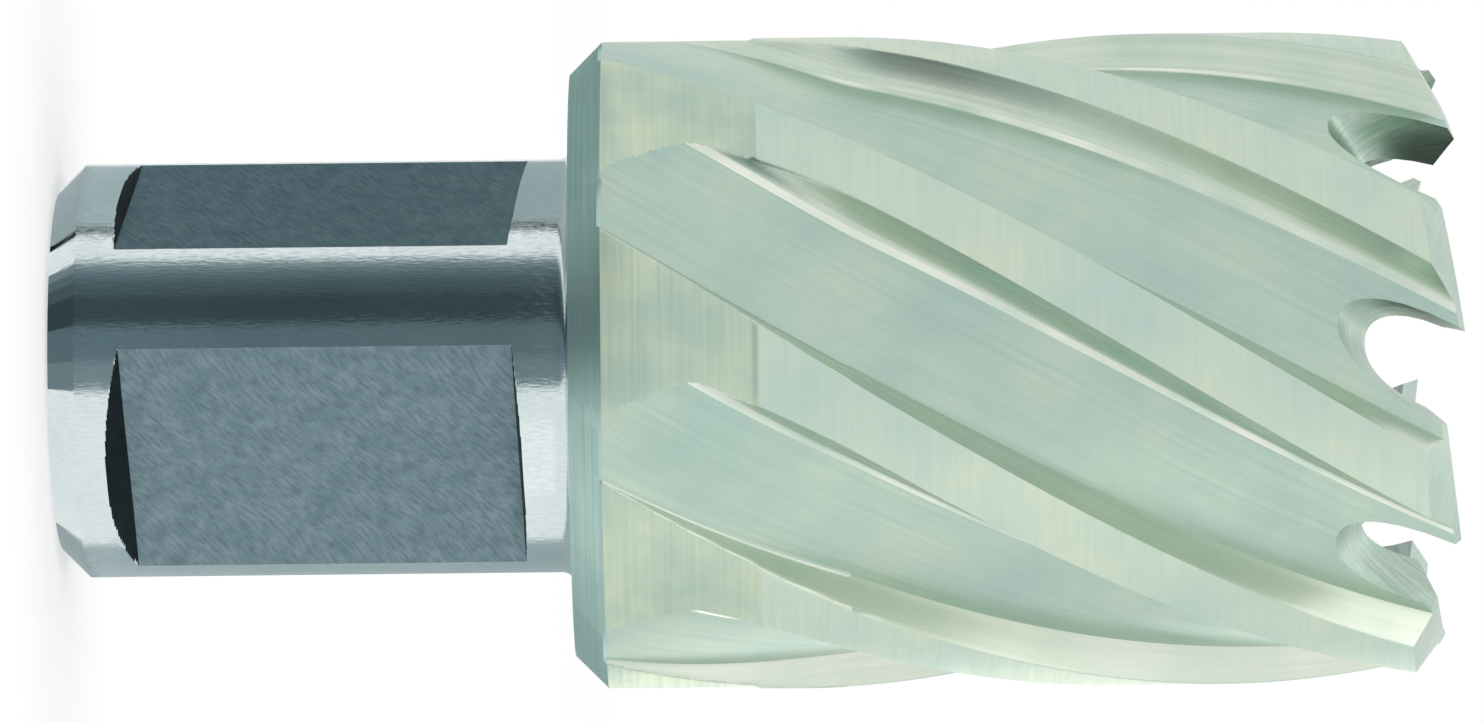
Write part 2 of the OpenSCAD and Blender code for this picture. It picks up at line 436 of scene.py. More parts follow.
def rows_over(*stretches: tuple[float, float, int]) -> np.ndarray:
    """Spaces rows evenly over stretches that follow one another.

    Args:
        *stretches: the start, the end and the number of rows of each, with both its ends counted.

    Returns:
        The places of the rows, without the end of the last stretch.
    """
    return np.concatenate([np.linspace(start, end, rows)[:-1] for start, end, rows in stretches])


@dataclass(frozen=True)
class FlutedHead:
    """The head: a collar, eight helical flutes that run out into it, gulleted teeth and a hollow.

    Sizes are in millimetres and degrees, as in the CAD model. Angles are counted from the back edge of a
    tooth's land, in a frame that turns with the helix. Rows and columns count both ends of a stretch.
    """

    # the collar and the hollow
    collar_z: float = SHANK_L_MM
    tip_z: float = 63.6
    cutter_r: float = 15.0
    core_r: float = 11.0
    core_floor: float = 8.0
    collar_chamfer: float = 1.5
    collar_l: float = 8.5
    collar_step: float = 0.1
    step_run: float = 0.3
    # the lands and the flutes
    teeth: int = 8
    head_turn: float = 21.0
    helix_angle: float = 31.0
    land_w: float = 3.1
    flute_depth: float = 1.7
    front_wall_w: float = 1.15
    back_wall_w: float = 0.55
    # how the flutes run out into the collar
    runout_l: float = 12.6
    runout_back: float = 0.84
    runout_front: float = 0.85
    runout_power: float = 2.6
    runout_soft: float = 0.1
    lobe_soft: float = 0.09
    lobe_lift: float = 0.2
    # the gullets and the teeth's ends
    gullet_l: float = 5.7
    gullet_rise: float = 1.35
    gullet_share: float = 0.55
    inner_edge_lead: float = 1.7
    heel_gap: float = 0.7
    corner_power: float = 2.2
    ridge_inset: float = 2.2
    outer_slope: float = 32.0
    inner_slope: float = 25.0
    relief_angle: float = 8.5
    # rounded edges, and where one finish gives way to the next
    edge_round: float = 0.07
    fillet_share: float = 0.66
    least_depth: float = 0.06
    chamfer_ring: float = 0.9
    # the curves of the walls
    back_wall_power: float = 1.15
    front_wall_power: float = 2.1
    # rows and columns of the grids
    front_spread: float = 1.5
    floor_columns: int = 15
    back_columns: int = 9
    edge_columns: int = 4
    land_columns: int = 9
    front_columns: int = 19
    collar_rows: int = 46
    step_rows: int = 4
    runout_rows: int = 25
    body_rows: int = 28
    hollow_rows: int = 7
    end_rows: int = 7
    tooth_rows: tuple[float, ...] = (0, 0.006, 0.02, 0.045, 0.08, 0.13, 0.2, 0.29, 0.4, 0.55, 0.75, 1)

    @staticmethod
    def arc(width: float, radius: float) -> float:
        """The angle, in degrees, of an arc of that width."""
        return math.degrees(width / radius)

    @staticmethod
    def soft_above_zero(value: np.ndarray, soft: np.ndarray | float) -> np.ndarray:
        """The value where it is above zero and zero below, with the bend between them rounded."""
        return (value + np.sqrt(value**2 + soft**2)) / 2

    @property
    def floor_r(self) -> float:
        """Radius of the flutes' floor."""
        return self.cutter_r - self.flute_depth

    @property
    def collar_r(self) -> float:
        """Radius of the collar."""
        return self.cutter_r - self.collar_step

    @property
    def ridge_r(self) -> float:
        """Radius of the ridge on each tooth's end."""
        return self.cutter_r - self.ridge_inset

    @property
    def pitch(self) -> float:
        """Angle from tooth to tooth."""
        return 360 / self.teeth

    @property
    def land_a(self) -> float:
        """Angle of a land."""
        return self.arc(self.land_w, self.cutter_r)

    @property
    def front_a(self) -> float:
        """Angle of the wall at the front of a land."""
        return self.arc(self.front_wall_w, self.floor_r)

    @property
    def back_a(self) -> float:
        """Angle of the wall at the back of a land."""
        return self.arc(self.back_wall_w, self.floor_r)

    @property
    def gullet_a(self) -> float:
        """Angle of a gullet's bottom."""
        floor = self.pitch - self.land_a - self.front_a - self.back_a
        return self.land_a + self.front_a + self.gullet_share * floor

    @property
    def edge_a(self) -> float:
        """Angle of the cutting edge at the tip."""
        return self.land_a + self.arc(self.inner_edge_lead, self.floor_r)

    @property
    def gullet_z(self) -> float:
        """Height of the gullets' bottoms."""
        return self.tip_z - self.gullet_l

    @property
    def core_z(self) -> float:
        """Height of the hollow's floor."""
        return self.collar_z + self.core_floor

    def columns(self) -> tuple[np.ndarray, np.ndarray, np.ndarray]:
        """The columns of the surface round one tooth, from heel to cutting edge.

        A wall's height over the flute's floor is a power of the way from its foot, so the front wall has a
        wide fillet and the back wall is almost straight. The edges of the land are quarter circles.

        Returns:
            The stretch that each column lies on, how far along that stretch it lies, from 0 to 1, and how
            deep below the cut diameter, in millimetres.
        """
        near = np.linspace(0, self.edge_round / self.land_w, self.edge_columns)
        land = np.concatenate([near, np.linspace(0, 1, self.land_columns)[1:-1], 1 - near[::-1]])
        stretches = [
            np.linspace(0, 1, self.floor_columns)[:-1],
            np.linspace(0, 1, self.back_columns)[:-1],
            land[:-1],
            np.linspace(0, 1, self.front_columns)[:-1] ** self.front_spread,
            np.linspace(0, 1, self.floor_columns),
        ]
        kind = np.repeat(np.arange(len(Stretch)), [len(shares) for shares in stretches])
        share = np.concatenate(stretches)
        rounding = self.edge_round
        inset = np.minimum(np.minimum(share, 1 - share) * self.land_w, rounding)
        rounded = rounding - np.sqrt(rounding**2 - (rounding - inset) ** 2)
        wall = self.flute_depth - rounding
        back = rounding + wall * (1 - share**self.back_wall_power)
        front = rounding + wall * (1 - (1 - share) ** self.front_wall_power)
        depth = np.select(
            [kind == Stretch.BACK_WALL, kind == Stretch.LAND, kind == Stretch.FRONT_WALL],
            [back, rounded, front],
            self.flute_depth,
        )
        return kind, share, depth

    def column_areas(self) -> np.ndarray:
        """The finish between each column and the next: the front wall's foot is its fillet.

        Returns:
            The material slots.
        """
        kind, share, _ = self.columns()
        front = kind == Stretch.FRONT_WALL
        # the fillets' bright cream and the back walls' pale tint are painted highlights
        areas = np.select(
            [kind == Stretch.BACK_WALL, kind == Stretch.LAND, front & (share > self.fillet_share), front],
            [Area.BACK_WALL.value, Area.LAND.value, Area.FILLET.value, Area.FRONT_WALL.value],
            Area.FLUTE.value,
        )
        return areas[:-1]

    def angles(self, low: np.ndarray | float, high: np.ndarray | float) -> np.ndarray:
        """Angles of all columns between a heel edge and a cutting edge.

        Args:
            low: angle of the heel edge, or a column of them.
            high: angle of the cutting edge, or a column of them.

        Returns:
            The angles, with one row for each pair of edges.
        """
        kind, share, _ = self.columns()
        foot = self.land_a + self.front_a
        return np.select(
            [kind == stretch for stretch in Stretch if stretch != Stretch.EDGE_FLOOR],
            [
                low + (-self.back_a - low) * share,
                self.back_a * (share - 1),
                self.land_a * share,
                self.land_a + self.front_a * share,
            ],
            foot + (high - foot) * share,
        )

    def outside(self, angles: np.ndarray, heights: np.ndarray) -> tuple[np.ndarray, np.ndarray]:
        """Radius of the outside of the head.

        A flute is lifted out as it nears the collar, and sooner at its front than at its back, so it ends
        in a slanting lobe. The collar is thinner than the lands by a small step, which the flutes don't
        have. The lift starts softly, and the edge where a lobe meets the round is rounded off, both by
        taking half the sum of a value and the root of its square plus a small square.

        Args:
            angles: angles of the columns, in the turning frame.
            heights: heights, broadcast against the angles.

        Returns:
            The radius, and the depth of the flute below the round, as arrays of the broadcast shape.
        """
        depth = self.columns()[2]
        full_z = self.collar_z + self.runout_l
        chamfer_z = self.collar_z + self.collar_chamfer
        runout = self.soft_above_zero((full_z - heights) / (full_z - chamfer_z), self.runout_soft)
        across = np.where(angles <= 0, -angles, self.pitch - angles) / (self.pitch - self.land_a)
        sooner = self.runout_front * np.clip(across, 0, 1) ** self.runout_power
        lift = runout * (self.runout_back + sooner)
        step_z = self.collar_z + self.collar_l
        step = self.collar_step * np.clip((step_z - heights) / self.step_run, 0, 1)
        level = depth - self.flute_depth * lift - step
        below = self.soft_above_zero(level, self.lobe_soft * np.minimum(1, lift / self.lobe_lift))
        return self.cutter_r - step - below, below

    def end_z(self, angles: np.ndarray, radius: np.ndarray) -> np.ndarray:
        """Height of a tooth's end: it falls away from the ridge both ways, and behind the cutting edge.

        Args:
            angles: angles in the turning frame.
            radius: radii, of the same shape.

        Returns:
            The heights.
        """
        slope = np.tan(np.radians(np.where(radius > self.ridge_r, self.outer_slope, self.inner_slope)))
        behind = np.radians(self.edge_a - angles) * self.ridge_r
        fall = np.abs(radius - self.ridge_r) * slope
        return self.tip_z - fall - behind * math.tan(math.radians(self.relief_angle))

    def place(
        self, tooth: int, angles: np.ndarray, radius: np.ndarray, heights: np.ndarray
    ) -> np.ndarray:
        """Points of the head, turned by tooth and by helix.

        Args:
            tooth: the tooth's number.
            angles: angles in the turning frame.
            radius: radii.
            heights: heights.

        Returns:
            An array of the broadcast shape and 3.
        """
        twist = self.arc(math.tan(math.radians(self.helix_angle)), self.cutter_r)
        turns = angles + tooth * self.pitch + self.head_turn + twist * (heights - self.tip_z)
        return about_axis(radius, turns, heights)

    def corner(self, share: np.ndarray) -> np.ndarray:
        """How far a gullet's edge has bent away from its bottom, from 0 to 1, along a superellipse."""
        bent = 1 - (1 - np.minimum(1, share)) ** self.corner_power
        return bent ** (1 / self.corner_power)

    def whole(self) -> np.ndarray:
        """Angles of the columns round all teeth below the gullets, closed into a ring.

        Returns:
            The angles, in the turning frame.
        """
        one = self.angles(self.gullet_a - self.pitch, self.gullet_a)[:-1]
        ring = (one + np.arange(self.teeth)[:, None] * self.pitch).ravel()
        return np.append(ring, ring[0] + 360)

    def body(self) -> Patch:
        """The collar's chamfer and the fluted body up to the gullets' bottoms.

        Returns:
            The patch. Its first row is the edge of the collar's face.
        """
        chamfer_z = self.collar_z + self.collar_chamfer
        step_z = self.collar_z + self.collar_l
        full_z = self.collar_z + self.runout_l
        rows = rows_over(
            (chamfer_z, step_z - self.step_run, self.collar_rows),
            (step_z - self.step_run, step_z, self.step_rows),
            (step_z, full_z, self.runout_rows),
            (full_z, self.gullet_z, self.body_rows),
        )
        heights = np.append(rows, self.gullet_z)[:, None]
        one = self.angles(self.gullet_a - self.pitch, self.gullet_a)
        radius, depth = self.outside(one, heights)
        ring = self.whole()
        radius = np.append(np.tile(radius[:, :-1], self.teeth), radius[:, :1], 1)
        depth = np.append(np.tile(depth[:, :-1], self.teeth), depth[:, :1], 1)
        diagonal = depth[1:, :-1] + depth[:-1, 1:]
        three_corners = np.stack([diagonal + depth[:-1, :-1], diagonal + depth[1:, 1:]], -1)
        shallow = three_corners < 3 * self.least_depth
        cells = np.where(shallow, Area.LAND.value, np.tile(self.column_areas(), self.teeth)[:, None])
        up_chamfer = np.array([0, self.chamfer_ring])[:, None] * self.collar_chamfer
        edge = np.broadcast_to(self.collar_r - self.collar_chamfer + up_chamfer, (2, ring.size))
        points = np.concatenate(
            [
                self.place(0, ring[None], edge, self.collar_z + up_chamfer),
                self.place(0, ring[None], radius, heights),
            ]
        )
        cells = np.concatenate([np.full((2, ring.size - 1, 2), Area.COLLAR_EDGE.value), cells])
        in_collar = (points[:-1, :-1, 2, None] < step_z) & (cells == Area.LAND.value)
        cells = np.where(in_collar, Area.COLLAR.value, cells)
        return grid_patch(points, np.radians(ring) * self.cutter_r, points[..., 2], cells)

    def hollow(self) -> Patch:
        """The straight wall of the hollow, from its floor up to the inner edge of the gullets' bottoms.

        Returns:
            The patch. Its first row is the edge of the hollow's floor.
        """
        top_z = self.gullet_z + self.gullet_rise
        ring = self.place(0, self.whole()[None], np.array([[self.core_r]]), np.array([[top_z]]))
        points = np.repeat(ring, self.hollow_rows, 0)
        points[..., 2] = np.linspace(self.core_z, top_z, self.hollow_rows)[:, None]
        return grid_patch(points, np.radians(self.whole()) * self.core_r, points[..., 2], Area.BORE)

    def end_radii(self, start: np.ndarray) -> np.ndarray:
        """Radii from a tooth's outside over its ridge to the hollow.

        Args:
            start: radii of the outside.

        Returns:
            The radii, along a new last axis.
        """
        across = np.append(rows_over((0, 1, self.end_rows), (1, 2, self.end_rows)), 2)
        start = start[..., None]
        to_ridge = start + (self.ridge_r - start) * across
        to_hollow = self.ridge_r + (self.core_r - self.ridge_r) * (across - 1)
        return np.where(across <= 1, to_ridge, to_hollow)

    def rise(self, angles: np.ndarray, radius: np.ndarray, share: np.ndarray) -> np.ndarray:
        """Heights between a gullet's bottom, which rises inwards, and a tooth's end.

        Args:
            angles: angles in the turning frame.
            radius: radii, of the same shape.
            share: how far up from the bottom to the end, from 0 to 1.

        Returns:
            The heights.
        """
        inwards = np.clip((self.floor_r - radius) / (self.floor_r - self.core_r), 0, 1)
        bottom = self.gullet_z + self.gullet_rise * inwards
        return bottom + share * (self.end_z(angles, radius) - bottom)

    def tooth_patches(self) -> list[Patch]:
        """The teeth above the gullets' bottoms.

        Each row is a share of the height from the gullet's bottom to the tooth's sloped end, and its two
        edges bend away from the gullet's bottom as rounded corners.

        Returns:
            For each tooth: its outside, inside, end, cutting face and heel face.
        """
        share = np.array(self.tooth_rows)[:, None]
        heel_a = -self.back_a - self.arc(self.heel_gap, self.floor_r)
        low = self.gullet_a - self.pitch
        low = low + (heel_a - low) * self.corner(share)
        high = self.gullet_a - (self.gullet_a - self.edge_a) * self.corner(share)
        angles = self.angles(low, high)
        outer = self.outside(angles, np.array(self.gullet_z))[0]
        inner = np.full_like(angles, self.core_r)
        cells = np.broadcast_to(self.column_areas(), (len(share) - 1, outer.shape[1] - 1))
        end_r = self.end_radii(outer[-1])
        end_a = np.broadcast_to(angles[-1][:, None], end_r.shape)
        front_r, back_r = self.end_radii(outer[:, -1]), self.end_radii(outer[:, 0])
        front_a = np.broadcast_to(angles[:, -1:], front_r.shape)
        back_a = np.broadcast_to(angles[:, :1], back_r.shape)
        faces = [
            (angles, outer, share, cells),
            (angles, inner, share, Area.BORE),
            (end_a, end_r, np.ones_like(end_r), Area.TOOTH_END),
            (front_a, front_r, share, Area.GULLET),
            (back_a, back_r, share, Area.GULLET),
        ]
        made = []
        for tooth in range(self.teeth):
            for face_a, face_r, face_share, area in faces:
                heights = self.rise(face_a, face_r, face_share)
                arc = np.radians(face_a + tooth * self.pitch) * self.cutter_r
                points = self.place(tooth, face_a, face_r, heights)
                if area is Area.TOOTH_END:
                    made.append(grid_patch(points, face_r, arc, area))
                elif area is Area.GULLET:
                    made.append(grid_patch(points, face_r, heights, area))
                else:
                    made.append(grid_patch(points, arc, heights, area))
        return made


@dataclass(frozen=True)
class FlattedShank:
    """The round shank with its two milled flats, its chamfered end and the pilot hole.

    Sizes are in millimetres and degrees. Rows count both ends of a stretch.
    """

    shank_r: float = SHANK_R_MM
    length: float = SHANK_L_MM
    chamfer: float = 1.3
    fillet: float = 0.6
    flat_start: float = 2.65
    flat_ramp: float = 0.85
    flat_collar_gap: float = 2.15
    flat_end_run: float = 0.25
    flat_depths: tuple[float, float] = (2.0, 0.75)
    flat_turns: tuple[float, float] = (302.0, 212.0)
    flat_skews: tuple[float, float] = (2.0, -6.5)
    skew_fade: float = 12.0
    pilot_r: float = 3.2
    # rows and columns of the grids, and what still counts as cut
    least_cut: float = 0.004
    least_cosine: float = 0.05
    column_turn: float = 1.5
    edge_turn: float = 0.25
    edge_clear: float = 0.3
    end_rows: int = 5
    ramp_rows: int = 17
    flat_rows: int = 24
    flat_end_rows: int = 9
    collar_rows: int = 5
    fillet_rows: int = 9
    face_rows: int = 4
    hole_rows: int = 5

    def half_angles(self) -> list[float]:
        """Half the angle that each flat takes out of the round."""
        return [math.degrees(math.acos(1 - depth / self.shank_r)) for depth in self.flat_depths]

    def turns(self) -> np.ndarray:
        """Angles of the columns, closed into a ring, with close ones at the flats' long edges.

        Returns:
            The angles, in degrees.
        """
        turns = np.arange(0, 360, self.column_turn)
        close = [-self.edge_turn, 0, self.edge_turn]
        for half, turn in zip(self.half_angles(), self.flat_turns):
            edges = np.add.outer([turn - half, turn + half], close).ravel() % 360
            keep = np.abs((turns[:, None] - edges + 180) % 360 - 180).min(1) > self.edge_clear
            turns = np.concatenate([turns[keep], edges])
        turns = np.sort(turns)
        return np.append(turns, turns[0] + 360)

    @property
    def flat_feet(self) -> tuple[float, float]:
        """Heights of the feet of the sloped walls at the flats' two ends."""
        return self.flat_start + self.flat_ramp, self.length - self.flat_collar_gap - self.flat_end_run

    def end_shift(self, turns: np.ndarray) -> np.ndarray:
        """How far along the axis the flats' skewed ends lie from square.

        Across a flat it is the distance from the flat's middle times the tangent of its skew, and beside
        the flat it fades away.

        Args:
            turns: angles about the axis.

        Returns:
            The shifts, in millimetres.
        """
        knots, shifts = [], []
        for half, turn, skew in zip(self.half_angles(), self.flat_turns, self.flat_skews):
            edge = self.shank_r * math.sin(math.radians(half)) * math.tan(math.radians(skew))
            low, high = turn - half, turn + half
            knots += [low - self.skew_fade, low, high, high + self.skew_fade]
            shifts += [0.0, -edge, edge, 0.0]
        return np.interp(turns, knots, shifts, period=360)

    def profile(self) -> tuple[np.ndarray, np.ndarray]:
        """The rows of the shank from its end to the collar.

        Returns:
            Heights, and the radius of the round.
        """
        foot, end_foot = self.flat_feet
        flat_end = end_foot + self.flat_end_run
        bend = np.radians(np.linspace(180, 90, self.fillet_rows))
        straight = rows_over(
            (self.chamfer, self.flat_start, self.end_rows),
            (self.flat_start, foot, self.ramp_rows),
            (foot, end_foot, self.flat_rows),
            (end_foot, flat_end, self.flat_end_rows),
            (flat_end, self.length - self.fillet, self.collar_rows),
        )
        heights = np.concatenate([[0], straight, self.length - self.fillet * (1 - np.sin(bend))])
        radius = np.concatenate(
            [
                [self.shank_r - self.chamfer],
                np.full(straight.size, self.shank_r),
                self.shank_r + self.fillet * (1 + np.cos(bend)),
            ]
        )
        return heights, radius

    def side(self) -> Patch:
        """The round of the shank, cut by the two flats.

        A flat is a plane along the axis, so its radius is its distance over the cosine of the angle from
        its middle. At both ends of the flat the plane tilts out until it leaves the round. The rows bend
        with the skew of those ends.

        Returns:
            The patch. Its first row is the edge of the shank's end and its last lies on the collar's face.
        """
        heights, round_r = self.profile()
        turns = self.turns()
        radius = np.repeat(round_r[:, None], turns.size, 1)
        foot, end_foot = self.flat_feet
        tilt_low = np.maximum(0, foot - heights) / self.flat_ramp
        tilt_high = np.maximum(0, heights - end_foot) / self.flat_end_run
        out = (tilt_low + tilt_high) * self.flat_depths[0]
        for depth, turn in zip(self.flat_depths, self.flat_turns):
            away = np.cos(np.radians(turns - turn))
            distance = (self.shank_r - depth + out)[:, None] / np.maximum(away, self.least_cosine)
            radius = np.where(away > self.least_cosine, np.minimum(radius, distance), radius)
        low = radius < round_r[:, None] - self.least_cut
        corners = np.stack([low[:-1, :-1], low[1:, :-1], low[:-1, 1:], low[1:, 1:]]).sum(0)
        middles = (heights[:-1] + heights[1:]) / 2
        on_floor = (middles > foot) & (middles < end_foot)
        # the sloped end walls take the almost black tint, a painted shade
        flat = np.where(on_floor, Area.FLAT.value, Area.FLAT_END.value)[:, None]
        cells = np.where(corners >= 2, flat, Area.SHANK.value)
        reach = [self.chamfer, self.flat_start, end_foot + self.flat_end_run, self.length - self.fillet]
        bent = np.interp(heights, reach, [0, 1, 1, 0])
        lengths = heights[:, None] + bent[:, None] * self.end_shift(turns)
        points = about_axis(radius, turns, lengths)
        return grid_patch(points, np.radians(turns) * self.shank_r, lengths, cells)

    def hole(self, top_z: float) -> tuple[Patch, np.ndarray]:
        """The shank's end face and the pilot hole behind it.

        Args:
            top_z: height of the hollow's floor, where the hole comes out.

        Returns:
            The patch, and the hole's edge in the hollow's floor.
        """
        turns = self.turns()
        face = np.linspace(self.shank_r - self.chamfer, self.pilot_r, self.face_rows)
        wall = np.linspace(0, top_z, self.hole_rows)[1:]
        radius = np.append(face, np.full(wall.size, self.pilot_r))
        heights = np.append(np.zeros(face.size), wall)
        points = about_axis(radius[:, None], turns, heights[:, None])
        along = np.cumsum(np.append(0, np.hypot(np.diff(radius), np.diff(heights))))
        rows = np.where(heights[1:] > 0, Area.BORE.value, Area.SHANK.value)
        cells = np.broadcast_to(rows[:, None], (rows.size, turns.size - 1))
        patch = grid_patch(points, np.radians(turns) * self.pilot_r, along[:, None], cells)
        return patch, points[-1, :-1]


@dataclass
class Cutter:
    """The whole cutter: head and shank joined into one closed mesh."""

    head: FlutedHead = field(default_factory=FlutedHead)
    shank: FlattedShank = field(default_factory=FlattedShank)
    crease_angle: float = 24.0
    weld_mm: float = 0.0008

    def patches(self) -> list[Patch]:
        """All surfaces of the head and the shank, and the two flat rings that join them.

        Returns:
            The patches.
        """
        side = self.shank.side()
        columns = self.shank.turns().size
        collar_foot = side.points[-columns:-1]
        body, hollow = self.head.body(), self.head.hollow()
        ring = self.head.whole().size
        hole, hole_edge = self.shank.hole(self.head.core_z)
        return [
            body,
            *self.head.tooth_patches(),
            hollow,
            side,
            hole,
            ring_patch(collar_foot, body.points[: ring - 1], Area.COLLAR_EDGE),
            ring_patch(hole_edge, hollow.points[: ring - 1], Area.BORE),
        ]

    def build(self) -> bpy.types.Object:
        """Joins the patches and welds their common edges.

        Returns:
            The mesh object, in metres, at the origin.
        """
        patches = self.patches()
        starts = np.cumsum([0] + [len(p.points) for p in patches[:-1]])
        points = np.concatenate([p.points for p in patches]) * MM
        uv = np.concatenate([p.uv for p in patches])
        triangles = np.concatenate([p.triangles + start for p, start in zip(patches, starts)])
        areas = np.concatenate([p.areas for p in patches])
        mesh = bpy.data.meshes.new("annular_cutter")
        mesh.vertices.add(len(points))
        mesh.vertices.foreach_set("co", points.ravel())
        mesh.loops.add(triangles.size)
        mesh.loops.foreach_set("vertex_index", triangles.ravel().astype(np.int32))
        mesh.polygons.add(len(triangles))
        mesh.polygons.foreach_set("loop_start", np.arange(0, triangles.size, 3, dtype=np.int32))
        mesh.polygons.foreach_set("material_index", areas.astype(np.int32))
        mesh.update(calc_edges=True)
        layer = mesh.uv_layers.new(name="surface_mm")
        layer.data.foreach_set("uv", uv[triangles.ravel()].ravel())
        surface = bmesh.new()
        surface.from_mesh(mesh)
        bmesh.ops.remove_doubles(surface, verts=surface.verts, dist=self.weld_mm * MM)
        bmesh.ops.recalc_face_normals(surface, faces=surface.faces)
        open_edges = sum(1 for edge in surface.edges if len(edge.link_faces) != 2)
        surface.to_mesh(mesh)
        surface.free()
        mesh.polygons.foreach_set("use_smooth", np.ones(len(mesh.polygons), bool))
        mesh.set_sharp_from_angle(angle=math.radians(self.crease_angle))
        self.soften_runout(mesh)
        piece = bpy.data.objects.new("annular_cutter", mesh)
        bpy.context.scene.collection.objects.link(piece)
        LOG.info("annular_cutter: %d triangles, %d open edges", len(mesh.polygons), open_edges)
        return piece

    def soften_runout(self, mesh: bpy.types.Mesh) -> None:
        """Shades the outside of the runout smoothly, because flutes fade into the round there.

        Args:
            mesh: the cutter's mesh, with its sharp edges marked.
        """
        points = np.empty(3 * len(mesh.vertices))
        mesh.vertices.foreach_get("co", points)
        x, y, heights = points.reshape(-1, 3).T / MM
        low = self.head.collar_z + self.head.collar_chamfer
        high = self.head.collar_z + self.head.runout_l
        outside = np.hypot(x, y) > self.head.core_r + self.weld_mm
        in_runout = outside & (heights > low + self.weld_mm) & (heights < high)
        ends = np.empty(2 * len(mesh.edges), np.int32)
        mesh.edges.foreach_get("vertices", ends)
        sharp = np.empty(len(mesh.edges), bool)
        marks = mesh.attributes["sharp_edge"].data
        marks.foreach_get("value", sharp)
        marks.foreach_set("value", sharp & ~in_runout[ends.reshape(-1, 2)].all(1))

    def dress(self, piece: bpy.types.Object) -> None:
        """Gives the mesh its finishes, in the order of the areas.

        Args:
            piece: the cutter's mesh object.
        """
        for area in Area:
            piece.data.materials.append(FINISHES[area].material())


@dataclass(frozen=True)
class Card:
    """A matt studio card, bent round the cutter and seen only in its reflections. Angles about Z."""

    name: str
    start: float
    end: float
    tint: str


@dataclass(frozen=True)
class Softbox:
    """A round softbox that faces a point on the axis."""

    name: str
    place_mm: tuple[float, float, float]
    aim_z_mm: float
    width_mm: float
    watts: float
    tint: str


